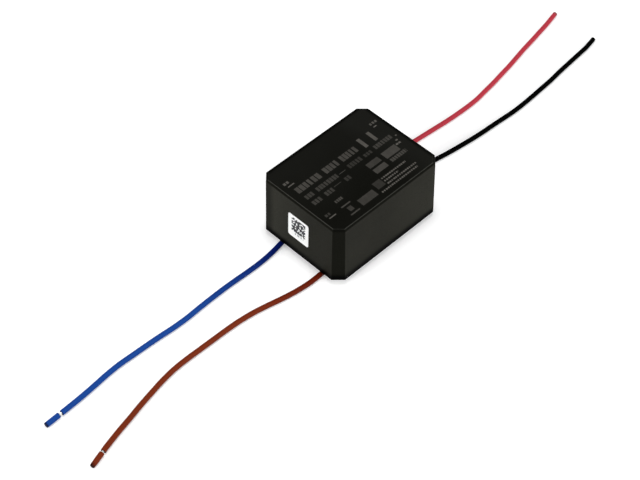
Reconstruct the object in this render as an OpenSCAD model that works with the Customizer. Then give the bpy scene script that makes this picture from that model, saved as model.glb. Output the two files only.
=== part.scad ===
// Potted ac-dc power supply: a drafted five-sided case that opens downwards, filled with resin
// around a circuit board, with two mains leads at one end and two dc leads at the other.
// X runs along the case from the mains end to the dc end, Y across it and Z up.
// The origin is under the middle of the case, on the surface that the leads lie on.

/* [Case] */
// Length at the rim, along X
case_l = 53.6; // [51:0.1:70]
// Width at the rim, along Y
case_w = 41; // [39:0.1:56]
// Height from the rim to the top face
case_h = 26.1; // [25:0.1:36]
// Thickness of the side walls
wall_t = 1.5; // [1:0.1:2]
// Thickness of the top
top_t = 1.5; // [1:0.1:3]
// How far each wall leans in between rim and top
draft = 0.6; // [0.2:0.05:0.8]
// Leg of the 45 degree corner cuts, measured at the rim
corner_leg = 3.5; // [2:0.1:5]
// Radius along the top edges
edge_r = 1; // [0.4:0.1:1.4]
// Width of the ribs inside the walls that stop the board
rib_w = 1.6; // [1:0.1:3]
// How far the ribs reach over the board's edge
rib_reach = 0.5; // [0.3:0.1:0.7]

/* [Label] */
// Width of the label on the mains end
label_w = 10.2; // [6:0.1:16]
// Height of the label
label_h = 11.3; // [6:0.1:16]
// Thickness of the label
label_t = 0.1; // [0.05:0.01:0.3]
// Corner radius of the label
label_r = 0.9; // [0.3:0.1:2]
// Distance from the top face down to the label
label_drop = 7.2; // [2:0.1:9]

/* [Leads] */
// Diameter of the mains leads
ac_lead_d = 2; // [1.6:0.1:2.4]
// Diameter of the dc leads
dc_lead_d = 1.9; // [1.6:0.1:2.2]
// Diameter of the conductor inside each lead
conductor_d = 1; // [0.6:0.05:1.3]
// Gap between the rim and the thickest lead under it
rim_clearance = 0.2; // [0.1:0.05:0.6]
// Bend radius of a lead where it turns out of the resin
bend_r = 4.4; // [4:0.1:4.9]
// Straight length of a lead between its bend and the case's end
lead_straight = 2.1; // [1:0.1:4]
// Place across the case where the neutral lead comes out
neutral_y = 9; // [8:0.1:11]
// Place across the case where the live lead comes out
line_y = -11.7; // [-13:0.1:-10]
// Place across the case where the positive lead comes out
positive_y = 12.2; // [12:0.1:14]
// Place across the case where the negative lead comes out
negative_y = 1; // [0:0.1:2]
// Bare gap near the end of the neutral lead
neutral_gap = 1.1; // [0.5:0.1:4]
// Loose piece of insulation at the end of the neutral lead
neutral_slug_l = 5.8; // [3:0.1:10]
// Bare gap near the end of the live lead
line_gap = 0.7; // [0.5:0.1:4]
// Loose piece of insulation at the end of the live lead
line_slug_l = 5.9; // [3:0.1:10]

/* [Board and resin] */
// Thickness of the circuit board
board_t = 1.6; // [0.8:0.1:2]
// Gap between the board and the walls
board_clearance = 0.3; // [0.1:0.05:0.6]
// Height of the board's underside above the rim
board_inset = 4; // [3.8:0.1:5]
// Depth of the resin's face inside the rim
resin_recess = 0.8; // [0.3:0.1:1.2]
// Free margin along the board's edges
edge_margin = 0.8; // [0.7:0.1:1.4]
// Gap between neighbouring parts on the board
part_gap = 1; // [0.6:0.1:1.4]
// Diameter of the part leads that pass through the board
pin_d = 0.7; // [0.5:0.05:0.9]
// How far those leads stand out under the board
pin_out = 1.1; // [0.9:0.1:1.6]
// Diameter of a solder joint at the board
joint_d = 2; // [1.6:0.1:2.4]
// Height of a solder joint
joint_h = 0.7; // [0.4:0.1:0.9]

/* [Mains side parts] */
// Diameter of the fuse
fuse_d = 7; // [6:0.1:8]
// Height of the fuse
fuse_h = 7.5; // [5:0.1:12]
// Diameter of the varistor's disc
varistor_d = 9; // [7:0.1:10]
// Thickness of the varistor's disc
varistor_t = 4.2; // [3:0.1:5]
// Thickness of the film capacitor, along X
film_t = 5; // [4:0.1:6]
// Length of the film capacitor, along Y
film_l = 13; // [10:0.1:14]
// Height of the film capacitor
film_h = 11; // [8:0.1:16]
// Diameter of the thermistor's disc
thermistor_d = 6.5; // [5:0.1:7.5]
// Thickness of the thermistor's disc
thermistor_t = 3.4; // [2.5:0.1:5]
// Width of the bridge rectifier's body, along X
bridge_w = 4; // [3:0.1:4.6]
// Length of the bridge rectifier's body, along Y
bridge_l = 6.4; // [5:0.1:8]
// Height of the bridge rectifier
bridge_h = 2.6; // [2:0.1:4]
// Diameter of the bulk capacitor
bulk_d = 12.5; // [10:0.1:14]
// Length of the bulk capacitor's can
bulk_l = 18; // [14:0.1:20]

/* [Choke] */
// Outside diameter of the choke's ring core
choke_core_d = 10.6; // [9:0.1:11.4]
// Hole diameter of the ring core
choke_hole_d = 6; // [5.4:0.1:6.6]
// Thickness of the ring core
choke_core_t = 4.4; // [3:0.1:5]
// Diameter of the choke's wire
choke_wire_d = 0.8; // [0.6:0.05:0.9]
// Number of turns in each of its two windings
choke_turns = 9; // [5:1:10]
// Thickness of the choke's base
choke_base_t = 1.2; // [0.8:0.1:2]

/* [Transformer] */
// Size of the transformer along X, over its pin rails
trafo_x = 15; // [14:0.1:17]
// Length of its core, along Y
trafo_y = 19; // [17:0.1:20.5]
// Height of its core
trafo_h = 15.2; // [13:0.1:16.5]
// Depth of its core, along X
core_depth = 8.6; // [7:0.1:9.4]
// Thickness of the core's back
core_back = 2.6; // [2:0.1:3.2]
// Thickness of the core's outer legs
core_leg = 2.9; // [2.2:0.1:3.4]
// Diameter of the core's middle leg
core_mid_d = 6; // [5:0.1:7]
// Gap ground into the middle leg
core_gap = 0.4; // [0.2:0.1:1]
// Wall of the bobbin
bobbin_t = 0.8; // [0.5:0.1:1.1]
// Height of the core above the board
core_lift = 0.4; // [0.2:0.1:1]
// Room left between the winding and the edge of the bobbin's flanges
winding_inset = 0.5; // [0.2:0.1:1]

/* [DC side parts] */
// Diameter of the output capacitor
output_cap_d = 8; // [6.5:0.1:9]
// Height of the output capacitor
output_cap_h = 16; // [10:0.1:16.5]
// Length of the output rectifier's body, along X
rectifier_l = 6.6; // [5:0.1:7.5]
// Width of the output rectifier's body, along Y
rectifier_w = 6.1; // [4:0.1:6.4]
// Height of the output rectifier
rectifier_h = 2.3; // [1.5:0.1:3]
// Diameter of the bridging capacitor's disc
bridging_cap_d = 7; // [5:0.1:7.5]
// Thickness of the bridging capacitor's disc
bridging_cap_t = 3.4; // [2.5:0.1:4]

/* [Parts under the board] */
// Length of the power transistor's body, along X
transistor_l = 6.1; // [5:0.1:7]
// Width of the power transistor's body, along Y
transistor_w = 6.6; // [5:0.1:8]
// Height of the power transistor
transistor_h = 2.3; // [1.5:0.1:2.6]
// Width of the controller chip's body, along X
chip_w = 3.9; // [3:0.1:4.4]
// Length of the controller chip's body, along Y
chip_l = 4.9; // [4:0.1:6]
// Height of the controller chip
chip_h = 1.6; // [1.2:0.1:2.4]
// Width of the optocoupler's body, along X
opto_w = 4.4; // [3.6:0.1:5]
// Length of the optocoupler's body, along Y
opto_l = 3.6; // [2.8:0.1:5]
// Height of the optocoupler
opto_h = 2.1; // [1.6:0.1:2.6]
// Side of the square output inductor
inductor_w = 6; // [4:0.1:6.6]
// Height of the output inductor
inductor_h = 2.4; // [1.8:0.1:2.6]
// Length of a small chip part
small_l = 2; // [1.6:0.1:2.2]
// Width of a small chip part
small_w = 1.25; // [0.8:0.05:1.6]

/* [Hidden] */
$fn = 48;

// Levels, from the surface that the leads lie on
rim_z = max(ac_lead_d, dc_lead_d) + rim_clearance;
top_z = rim_z + case_h;
ceiling_z = top_z - top_t;
resin_z = rim_z + resin_recess;
board_z = rim_z + board_inset;
deck_z = board_z + board_t;

// Half widths at the rim: along X, along Y and square to the corner cuts
half_l = case_l / 2;
half_w = case_w / 2;
half_cut = (half_l + half_w - corner_leg) / sqrt(2);

// All eight walls lean in by the same draft
lean_angle = atan(draft / case_h);
function wall_at(half, z) = half - draft * (z - rim_z) / case_h;

// How far a cutting shape runs past its mark, and a joined one into its neighbour
over = 1;

// Board and the space that parts may use on it
board_x = wall_at(half_l, deck_z) - wall_t - board_clearance;
board_y = wall_at(half_w, deck_z) - wall_t - board_clearance;
board_cut = (wall_at(half_cut, deck_z) - wall_t - board_clearance) * sqrt(2);
use_x = board_x - edge_margin;
use_y = board_y - edge_margin;

// Routes of the free leads, as steps outwards and sideways from where each leaves the case
neutral_route = [[0, 0], [6, -1], [12, -1.5], [18, -1.5], [24, -1.3], [30, -1.2], [36, -1.3],
                 [42, -1.5], [48, -1.8], [54, -1.7], [60, -1.3], [66, -1], [72, -0.8], [78, -0.6],
                 [84, -0.9], [90, -1.5], [96, -2], [102, -2.3], [104.7, -2.4]];
line_route = [[0, 0], [6, -0.1], [12, 0.5], [18, 1.6], [24, 3], [30, 4.2], [36, 4.9], [42, 5.2],
              [48, 5.3], [54, 5.4], [60, 5.5], [66, 5.3], [72, 4.5], [78, 3.3], [84, 2], [90, 0.5],
              [96, -0.9], [102, -2.5], [104.6, -3.3]];
positive_route = [[0, 0], [6, -0.6], [12, -1.3], [18, -1.9], [24, -2.4], [30, -2.9], [36, -3.4],
                  [42, -3.7], [48, -3.8], [54, -3.6], [60, -2.8], [66, -2], [72, -1], [78, 0],
                  [84, 1.2], [90, 2.4], [96, 3.4], [102, 4.5], [108, 5.6], [112, 6.5], [115.6, 7.3]];
negative_route = [[0, 0], [6, -1.1], [12, -2.2], [18, -3.2], [24, -4.2], [30, -5], [36, -5.7],
                  [42, -6.2], [48, -6.5], [54, -6.9], [60, -7.2], [66, -7.1], [72, -6.8], [78, -6.4],
                  [84, -6], [90, -5.3], [96, -4.8], [102, -4.3], [108, -3.8], [110.5, -3.4],
                  [112.7, -3], [114.7, -2.6]];

// A lead's exit stays this far inside the case's end, so that its tilted face doesn't stand out
exit_inset = 0.3;
exit_x = half_l - exit_inset;
function lead_path(side, y, route) = [for (p = route) [side * (exit_x + p[0]), y + p[1]]];
function unit(v) = v / norm(v);
function first_way(path) = unit(path[1] - path[0]);
function last_way(path) = unit(path[len(path) - 1] - path[len(path) - 2]);
function end_of(path) = path[len(path) - 1];
function hole_of(path) = path[0] - first_way(path) * (bend_r + lead_straight);
neutral_path = lead_path(-1, neutral_y, neutral_route);
line_path = lead_path(-1, line_y, line_route);
positive_path = lead_path(1, positive_y, positive_route);
negative_path = lead_path(1, negative_y, negative_route);
lead_holes = [hole_of(neutral_path), hole_of(line_path), hole_of(positive_path), hole_of(negative_path)];

// Reach of a straight lead up into its part, and height of a coated disc above the board
pin_reach = 1;
disc_foot = 1.2;

// Columns of parts from the mains end: fuse, then film capacitor, bridge and varistor, then choke and
// thermistor with the bulk capacitor beside them, then the transformer. The dc parts keep to the other end.
fuse_x = -use_x + fuse_d / 2;
fuse_y = (lead_holes[0][1] + lead_holes[1][1]) / 2;
column_b = -use_x + fuse_d + part_gap;
film_x = column_b + film_t / 2;
film_y = use_y - film_l / 2;
varistor_x = column_b + varistor_t / 2;
varistor_y = -use_y + varistor_d / 2;
bridge_leg = 0.5;
bridge_span = bridge_w + 2 * bridge_leg;
bridge_x = column_b + bridge_span / 2;
bridge_y = ((varistor_y + varistor_d / 2) + (film_y - film_l / 2)) / 2;
column_c = column_b + max(film_t, varistor_t, bridge_span) + part_gap;

// Choke: a ring standing on its edge, with its axis along X
ring_w = (choke_core_d - choke_hole_d) / 2;
lay_gap = 0.05;
winding_off = choke_wire_d + 2 * lay_gap;
wire_off = (winding_off + lay_gap) / 2;
turn_cut = choke_wire_d * 0.7;
choke_x_size = choke_core_t + 2 * winding_off;
choke_y_size = choke_core_d + 2 * winding_off;
choke_x = column_c + choke_x_size / 2;
choke_y = use_y - choke_y_size / 2;
choke_z = deck_z + choke_base_t + winding_off + choke_core_d / 2;
choke_sweep = 130;
choke_tail_y = choke_core_d / 4;

// Bulk capacitor: lies along X, with its leads bent down at the mains end
bulk_lead_run = 1.5;
bulk_y = -use_y + bulk_d / 2;
bulk_x = column_c + bulk_lead_run + bulk_l / 2;
bulk_z = deck_z + bulk_d / 2;
bulk_pin_x = column_c + pin_d / 2;
thermistor_x = column_c + thermistor_t / 2;
thermistor_y = ((bulk_y + bulk_d / 2) + (choke_y - choke_y_size / 2)) / 2;

// Transformer
column_d = column_c + max(choke_x_size, thermistor_t) + part_gap;
trafo_cx = column_d + trafo_x / 2;
trafo_cy = bulk_y + bulk_d / 2 + part_gap + trafo_y / 2;
core_z = deck_z + core_lift;
window_y = trafo_y - 2 * core_leg;
window_z = trafo_h - 2 * core_back;
fit_gap = 0.1;
rail_w = (trafo_x - core_depth) / 2 - fit_gap;
trafo_pin_dx = trafo_x / 2 - rail_w / 2;
trafo_pin_pitch = 4.5;
tube_d = core_mid_d + 2 * fit_gap + 2 * bobbin_t;

// Parts at the dc end
output_cap_x = column_c + bulk_lead_run + bulk_l + part_gap + output_cap_d / 2;
output_cap_y = -use_y + output_cap_d / 2;
rectifier_x = use_x - rectifier_l / 2;
rectifier_y = (lead_holes[2][1] + lead_holes[3][1]) / 2;
bridging_cap_x = use_x - bridging_cap_d / 2;
bridging_cap_y = ((lead_holes[3][1] - joint_d / 2) + (output_cap_y + output_cap_d / 2)) / 2;

// Parts under the board
transistor_tab = 1.2;
transistor_legs = 2.4;
transistor_x0 = bulk_pin_x + joint_d / 2 + small_l + 2 * part_gap;
transistor_x = transistor_x0 + transistor_tab + transistor_l / 2;
transistor_y = bulk_y;
transistor_x1 = transistor_x0 + transistor_tab + transistor_l + transistor_legs;
chip_x = trafo_cx;
chip_y = trafo_cy - chip_l / 2 - part_gap;
opto_x = trafo_cx;
opto_y = trafo_cy + opto_l / 2 + part_gap;
inductor_x = trafo_cx + trafo_pin_dx + joint_d / 2 + part_gap + inductor_w / 2;
inductor_y = rectifier_y;
small_pitch = 3;
small_h = 0.6;
resistor_x = transistor_x1 + part_gap + small_l / 2;
capacitor_x = transistor_x0 - part_gap - small_l / 2;

// Places of the leads that pass through the board, for its holes and solder joints
pitch = 5;
film_pin_inset = 1.5;
output_cap_pitch = 3.6;
bridging_cap_pitch = 4.7;
fuse_pins = [for (s = [-1, 1]) [fuse_x, fuse_y + s * pitch / 2]];
varistor_pins = [for (s = [-1, 1]) [varistor_x, varistor_y + s * pitch / 2]];
film_pins = [for (s = [-1, 1]) [film_x, film_y + s * (film_l / 2 - film_pin_inset)]];
thermistor_pins = [for (s = [-1, 1]) [thermistor_x, thermistor_y + s * thermistor_d / 4]];
choke_pins = [for (sx = [-1, 1], sy = [-1, 1])
              [choke_x + sx * (choke_core_t / 2 + wire_off), choke_y + sy * choke_tail_y]];
bulk_pins = [for (s = [-1, 1]) [bulk_pin_x, bulk_y + s * pitch / 2]];
trafo_pins = [for (sx = [-1, 1], k = [-1, 0, 1])
              [trafo_cx + sx * trafo_pin_dx, trafo_cy + k * trafo_pin_pitch]];
output_cap_pins = [for (s = [-1, 1]) [output_cap_x, output_cap_y + s * output_cap_pitch / 2]];
bridging_cap_pins = [for (s = [-1, 1]) [bridging_cap_x + s * bridging_cap_pitch / 2, bridging_cap_y]];
board_pins = concat(fuse_pins, varistor_pins, film_pins, thermistor_pins, choke_pins, bulk_pins, trafo_pins,
                    output_cap_pins, bridging_cap_pins);

// Shared shapes

// A rectangle whose corners are cut where |x| + |y| passes cut
module cut_rectangle(hx, hy, cut) {
    polygon([[hx, cut - hx], [cut - hy, hy], [hy - cut, hy], [-hx, cut - hx],
             [-hx, hx - cut], [hy - cut, -hy], [cut - hy, -hy], [hx, hx - cut]]);
}

// A rectangle with round corners
module round_rectangle(w, h, r) {
    square([w - 2 * r, h], center = true);
    square([w, h - 2 * r], center = true);
    for (sx = [-1, 1], sy = [-1, 1])
        translate([sx * (w / 2 - r), sy * (h / 2 - r)]) circle(r);
}

// Section through two opposite walls, which lean in by draft over the case's height. Its top corners are
// round, or sharp where r is 0.
module wall_section(half, low, high, r) {
    cz = high - r;
    cx = wall_at(half, cz) - r / cos(lean_angle);
    touch = [cx + r * cos(lean_angle), cz + r * sin(lean_angle)];
    if (r > 0) {
        polygon([[-wall_at(half, low), low], [wall_at(half, low), low], touch, [cx, cz], [cx, high],
                 [-cx, high], [-cx, cz], [-touch[0], touch[1]]]);
        for (s = [-1, 1]) translate([s * cx, cz]) circle(r);
    } else {
        polygon([[-wall_at(half, low), low], [wall_at(half, low), low],
                 [wall_at(half, high), high], [-wall_at(half, high), high]]);
    }
}

// Two opposite walls, turned about Z, with the space between them
module wall_pair(angle, half, low, high, r) {
    rotate([90, 0, angle]) linear_extrude(2 * (half_l + half_w), center = true)
        wall_section(half, low, high, r);
}

// The case's form, moved in by inset and kept between two levels
module case_form(inset, low, high, r) {
    intersection() {
        wall_pair(0, half_l - inset, low, high, r);
        wall_pair(90, half_w - inset, low, high, r);
        wall_pair(45, half_cut - inset, low, high, r);
        wall_pair(135, half_cut - inset, low, high, r);
    }
}

// Ribs that reach in from the walls above the board's edge
module board_ribs() {
    rib_h = ceiling_z - deck_z + top_t / 2;
    module rib(angle, half, board, side) {
        rotate([0, 0, angle]) translate([board - rib_reach, side - rib_w / 2, deck_z])
            cube([half - wall_t / 2 - board + rib_reach, rib_w, rib_h]);
    }
    for (side = [-case_l / 4, case_l / 4], angle = [90, 270]) rib(angle, half_w, board_y, side);
    for (side = [-case_w / 3, case_w / 3], angle = [0, 180]) rib(angle, half_l, board_x, side);
}

// Straight leads of a part, from the given height down through the board
module part_pins(places, from_z) {
    for (p = places)
        translate([p[0], p[1], board_z - pin_out]) cylinder(h = from_z - board_z + pin_out, d = pin_d);
}

// A coated disc standing on its edge, with its axis along Y
module coated_disc(d, t) {
    r = t / 3;
    rotate([90, 0, 0]) rotate_extrude() {
        translate([0, -t / 2]) square([d / 2 - r, t]);
        translate([0, -t / 2 + r]) square([d / 2, t - 2 * r]);
        for (s = [-1, 1]) translate([d / 2 - r, s * (t / 2 - r)]) circle(r);
    }
}

// An aluminium can from z = 0 up, with round ends and a crimp groove near its sealed foot
module capacitor_can(d, h) {
    edge = d / 14;
    groove = d / 22;
    groove_z = 2.2;
    rotate_extrude() difference() {
        union() {
            square([d / 2 - edge, h]);
            translate([0, edge]) square([d / 2, h - 2 * edge]);
            for (z = [edge, h - edge]) translate([d / 2 - edge, z]) circle(edge);
        }
        translate([d / 2, groove_z]) circle(groove);
    }
}

// A moulded chip package with its seating plane at z = 0, its body above and bent legs on two sides along X
module chip_package(w, l, h, legs, leg_w, reach) {
    sheet = 0.2;
    lift = 0.1;
    root_z = h / 2;
    translate([-w / 2, -l / 2, lift]) cube([w, l, h - lift]);
    for (sx = [0, 1], k = [0 : legs - 1])
        mirror([sx, 0, 0]) translate([w / 2, (k - (legs - 1) / 2) * l / legs - leg_w / 2, 0]) {
            translate([-sheet, 0, root_z - sheet / 2]) cube([2 * sheet, leg_w, sheet]);
            cube([sheet, leg_w, root_z + sheet / 2]);
            cube([reach, leg_w, sheet]);
        }
}

// Case and label

module case_shell() {
    color("#26282a") {
        difference() {
            case_form(0, rim_z, top_z, edge_r);
            case_form(wall_t, rim_z - over, ceiling_z, 0);
        }
        intersection() {
            board_ribs();
            case_form(wall_t / 2, rim_z, ceiling_z + top_t / 2, 0);
        }
    }
}

module end_label() {
    color("white")
        translate([-half_l, 0, rim_z]) rotate([0, lean_angle, 0])
            translate([-label_t, 0, case_h - label_drop - label_h / 2])
                rotate([90, 0, 90]) linear_extrude(label_t) round_rectangle(label_w, label_h, label_r);
}

// Resin: fills the case up to its face just inside the rim, around everything on the board
module resin() {
    color("#17181a") difference() {
        case_form(wall_t, resin_z, ceiling_z, 0);
        board_ribs();
        board_blank();
        parts_on_board();
        solder_joints();
        lead_conductors();
        lead_roots();
    }
}

// Board

module board_blank() {
    translate([0, 0, board_z]) linear_extrude(board_t)
        cut_rectangle(board_x, board_y, board_cut);
}

module circuit_board() {
    color("#2f6b3c") difference() {
        board_blank();
        for (p = board_pins)
            translate([p[0], p[1], board_z - over]) cylinder(h = board_t + 2 * over, d = pin_d);
        for (p = lead_holes)
            translate([p[0], p[1], board_z - over]) cylinder(h = board_t + 2 * over, d = conductor_d);
    }
}

// Solder cones: under the board round the parts' leads, and on its upper side round the four conductors
module solder_joints() {
    tip = 0.2;
    module joint(pin, foot, top) {
        difference() {
            cylinder(h = joint_h, d1 = foot, d2 = top);
            translate([0, 0, -over]) cylinder(h = joint_h + 2 * over, d = pin);
        }
    }
    color("silver") {
        for (p = board_pins)
            translate([p[0], p[1], board_z - joint_h]) joint(pin_d, pin_d + 2 * tip, joint_d);
        for (p = lead_holes)
            translate([p[0], p[1], deck_z]) joint(conductor_d, joint_d, conductor_d + 2 * tip);
    }
}

// Mains side

module fuse() {
    cap = 0.6;
    color("#3b3f44") {
        translate([fuse_x, fuse_y, deck_z]) {
            cylinder(h = fuse_h - cap, d = fuse_d);
            cylinder(h = fuse_h, d = fuse_d - 2 * cap);
        }
        part_pins(fuse_pins, deck_z + pin_reach);
    }
}

module varistor() {
    color("#2456a4") {
        translate([varistor_x, varistor_y, deck_z + disc_foot + varistor_d / 2]) rotate([0, 0, 90])
            coated_disc(varistor_d, varistor_t);
        part_pins(varistor_pins, deck_z + disc_foot + varistor_d / 4);
    }
}

module film_capacitor() {
    r = 0.5;
    color("#d8b13a") {
        translate([film_x, film_y, deck_z]) linear_extrude(film_h) round_rectangle(film_t, film_l, r);
        part_pins(film_pins, deck_z + pin_reach);
    }
}

module inrush_thermistor() {
    color("#24262a") {
        translate([thermistor_x, thermistor_y, deck_z + disc_foot + thermistor_d / 2]) rotate([0, 0, 90])
            coated_disc(thermistor_d, thermistor_t);
        part_pins(thermistor_pins, deck_z + disc_foot + thermistor_d / 4);
    }
}

module bridge_rectifier() {
    leg_w = 0.8;
    color("#1c1d1f") translate([bridge_x, bridge_y, deck_z])
        chip_package(bridge_w, bridge_l, bridge_h, 2, leg_w, bridge_leg);
}

// Common-mode choke

// Base with a saddle under the bare lowest part of the ring
module choke_base() {
    saddle_w = choke_core_d / 4;
    color("#d9d6cc") difference() {
        union() {
            translate([choke_x - choke_x_size / 2, choke_y - choke_y_size / 2, deck_z])
                cube([choke_x_size, choke_y_size, choke_base_t]);
            translate([choke_x - choke_core_t / 2, choke_y - saddle_w / 2, deck_z])
                cube([choke_core_t, saddle_w, choke_z - choke_core_d / 2 - deck_z + over]);
        }
        translate([choke_x, choke_y, choke_z]) rotate([0, 90, 0])
            cylinder(h = choke_x_size + 2 * over, d = choke_core_d, center = true);
        for (p = choke_pins)
            translate([p[0], p[1], deck_z - over]) cylinder(h = choke_base_t + 2 * over, d = choke_wire_d);
    }
}

module choke_core() {
    r = 0.4;
    color("#3d5a45") translate([choke_x, choke_y, choke_z]) rotate([0, 90, 0])
        rotate_extrude() translate([choke_hole_d / 2 + ring_w / 2, 0])
            round_rectangle(ring_w, choke_core_t, r);
}

// One winding: turns laid side by side round the ring's section, which touch inside the ring and fan out
// on its outside
module choke_winding(side) {
    mid_r = choke_hole_d / 2 + ring_w / 2;
    turn_step = choke_sweep / (choke_turns - 1);
    out_x = ring_w / 2 + winding_off;
    out_y = choke_core_t / 2 + winding_off;
    color("#b5713a") {
        translate([choke_x, choke_y, choke_z]) rotate([0, 90, 0])
            for (k = [0 : choke_turns - 1])
                rotate([0, 0, side * 90 + (k - (choke_turns - 1) / 2) * turn_step]) translate([mid_r, 0, 0])
                    rotate([90, 0, 0]) linear_extrude(choke_wire_d, center = true) difference() {
                        cut_rectangle(out_x, out_y, out_x + out_y - turn_cut);
                        square([ring_w + 2 * lay_gap, choke_core_t + 2 * lay_gap], center = true);
                    }
        for (sx = [-1, 1])
            translate([choke_x + sx * (choke_core_t / 2 + wire_off), choke_y + side * choke_tail_y, deck_z])
                cylinder(h = choke_z - choke_core_d / 4 - deck_z, d = choke_wire_d);
        part_pins([for (p = choke_pins) if (side * (p[1] - choke_y) > 0) p], deck_z);
    }
}

module bulk_capacitor() {
    color("#30343a") {
        translate([bulk_x - bulk_l / 2, bulk_y, bulk_z]) rotate([0, 90, 0]) capacitor_can(bulk_d, bulk_l);
        for (p = bulk_pins) {
            translate([p[0], p[1], bulk_z]) sphere(d = pin_d);
            translate([p[0], p[1], bulk_z]) rotate([0, 90, 0])
                cylinder(h = bulk_lead_run + over, d = pin_d);
        }
        part_pins(bulk_pins, bulk_z);
    }
}

// Transformer: two E cores close round a bobbin whose pins stand in rails on both sides

module core_half() {
    mid_h = window_z / 2 - core_gap / 2;
    translate([-core_depth / 2, -trafo_y / 2, 0]) cube([core_depth, trafo_y, core_back]);
    for (s = [-1, 1])
        translate([-core_depth / 2, s > 0 ? trafo_y / 2 - core_leg : -trafo_y / 2, 0])
            cube([core_depth, core_leg, core_back + window_z / 2]);
    cylinder(h = core_back + mid_h, d = core_mid_d);
}

module transformer_core_lower() {
    color("#3a3a3c") translate([trafo_cx, trafo_cy, core_z]) core_half();
}

module transformer_core_upper() {
    color("#3a3a3c") translate([trafo_cx, trafo_cy, core_z + trafo_h]) mirror([0, 0, 1]) core_half();
}

module transformer_bobbin() {
    flange_y = window_y - 2 * fit_gap;
    low_z = core_z + core_back;
    high_z = low_z + window_z;
    color("#20242a") difference() {
        union() {
            for (z = [low_z + fit_gap, high_z - fit_gap - bobbin_t])
                translate([trafo_cx - trafo_x / 2, trafo_cy - flange_y / 2, z])
                    cube([trafo_x, flange_y, bobbin_t]);
            translate([trafo_cx, trafo_cy, low_z + fit_gap])
                cylinder(h = window_z - 2 * fit_gap, d = tube_d);
            for (s = [-1, 1])
                translate([s > 0 ? trafo_cx + trafo_x / 2 - rail_w : trafo_cx - trafo_x / 2,
                           trafo_cy - flange_y / 2, deck_z])
                    cube([rail_w, flange_y, low_z + fit_gap - deck_z + bobbin_t / 2]);
        }
        translate([trafo_cx, trafo_cy, low_z - over])
            cylinder(h = window_z + 2 * over, d = core_mid_d + 2 * fit_gap);
        for (p = trafo_pins)
            translate([p[0], p[1], deck_z - over]) cylinder(h = pin_reach + over, d = pin_d);
    }
}

module transformer_pins() {
    color("silver") part_pins(trafo_pins, deck_z + pin_reach);
}

module transformer_winding() {
    low_z = core_z + core_back + fit_gap + bobbin_t;
    winding_h = window_z - 2 * fit_gap - 2 * bobbin_t;
    wind_x = trafo_x - 2 * winding_inset;
    wind_y = window_y - 2 * fit_gap - 2 * winding_inset;
    color("#e3c64a") translate([trafo_cx, trafo_cy, low_z]) linear_extrude(winding_h) difference() {
        round_rectangle(wind_x, wind_y, wind_y / 3);
        circle(d = tube_d);
    }
}

// DC side

module output_capacitor() {
    color("#30343a") {
        translate([output_cap_x, output_cap_y, deck_z]) capacitor_can(output_cap_d, output_cap_h);
        part_pins(output_cap_pins, deck_z + pin_reach);
    }
}

module output_rectifier() {
    reach = 0.6;
    leg_w = 1.2;
    color("#1c1d1f") translate([rectifier_x, rectifier_y, deck_z])
        chip_package(rectifier_l - 2 * reach, rectifier_w, rectifier_h, 2, leg_w, reach);
}

module bridging_capacitor() {
    color("#3a78c2") {
        translate([bridging_cap_x, bridging_cap_y, deck_z + disc_foot + bridging_cap_d / 2])
            coated_disc(bridging_cap_d, bridging_cap_t);
        part_pins(bridging_cap_pins, deck_z + disc_foot + bridging_cap_d / 3);
    }
}

// Parts under the board, drawn upside down from the board's underside

module under_board(x, y) {
    translate([x, y, board_z]) mirror([0, 0, 1]) children();
}

module power_transistor() {
    sheet = 0.5;
    leg_w = 0.8;
    tab_w = transistor_w * 0.8;
    color("#1c1d1f") under_board(transistor_x, transistor_y) {
        translate([-transistor_l / 2, -transistor_w / 2, 0])
            cube([transistor_l, transistor_w, transistor_h]);
        translate([-transistor_l / 2 - transistor_tab, -tab_w / 2, 0])
            cube([transistor_tab + over, tab_w, sheet]);
        for (s = [-1, 1])
            translate([transistor_l / 2 - over, s * transistor_w / 3 - leg_w / 2, 0])
                cube([transistor_legs + over, leg_w, sheet]);
    }
}

module controller_chip() {
    leg_w = 0.4;
    reach = 1;
    color("#1c1d1f") under_board(chip_x, chip_y) chip_package(chip_w, chip_l, chip_h, 4, leg_w, reach);
}

module optocoupler() {
    leg_w = 0.5;
    reach = 1;
    color("#e9e7df") under_board(opto_x, opto_y) chip_package(opto_w, opto_l, opto_h, 2, leg_w, reach);
}

// A square ferrite body with a round drum let into its face
module output_inductor() {
    r = 1;
    drum_d = inductor_w * 0.72;
    groove_w = 0.2;
    groove_h = 0.5;
    color("#4a4b4d") under_board(inductor_x, inductor_y) difference() {
        linear_extrude(inductor_h) round_rectangle(inductor_w, inductor_w, r);
        translate([0, 0, inductor_h - groove_h]) difference() {
            cylinder(h = groove_h + over, d = drum_d);
            translate([0, 0, -over]) cylinder(h = groove_h + 3 * over, d = drum_d - 2 * groove_w);
        }
    }
}

module small_column(x, colour) {
    color(colour) for (k = [-1, 0, 1])
        under_board(x, bulk_y + k * small_pitch)
            translate([-small_l / 2, -small_w / 2, 0]) cube([small_l, small_w, small_h]);
}

module chip_resistors() {
    small_column(resistor_x, "#2b2d33");
}

module chip_capacitors() {
    small_column(capacitor_x, "#a9895c");
}

module parts_on_board() {
    fuse();
    varistor();
    film_capacitor();
    inrush_thermistor();
    bridge_rectifier();
    choke_base();
    choke_core();
    choke_winding(1);
    choke_winding(-1);
    bulk_capacitor();
    transformer_core_lower();
    transformer_core_upper();
    transformer_bobbin();
    transformer_pins();
    transformer_winding();
    output_capacitor();
    output_rectifier();
    bridging_capacitor();
    power_transistor();
    controller_chip();
    optocoupler();
    output_inductor();
    chip_resistors();
    chip_capacitors();
}

// Leads

// Bare conductors of the four leads, through the board
module lead_conductors() {
    stick_out = 1;
    color("#c9c7c2") for (p = lead_holes)
        translate([p[0], p[1], board_z]) cylinder(h = board_t + stick_out, d = conductor_d);
}

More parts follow.
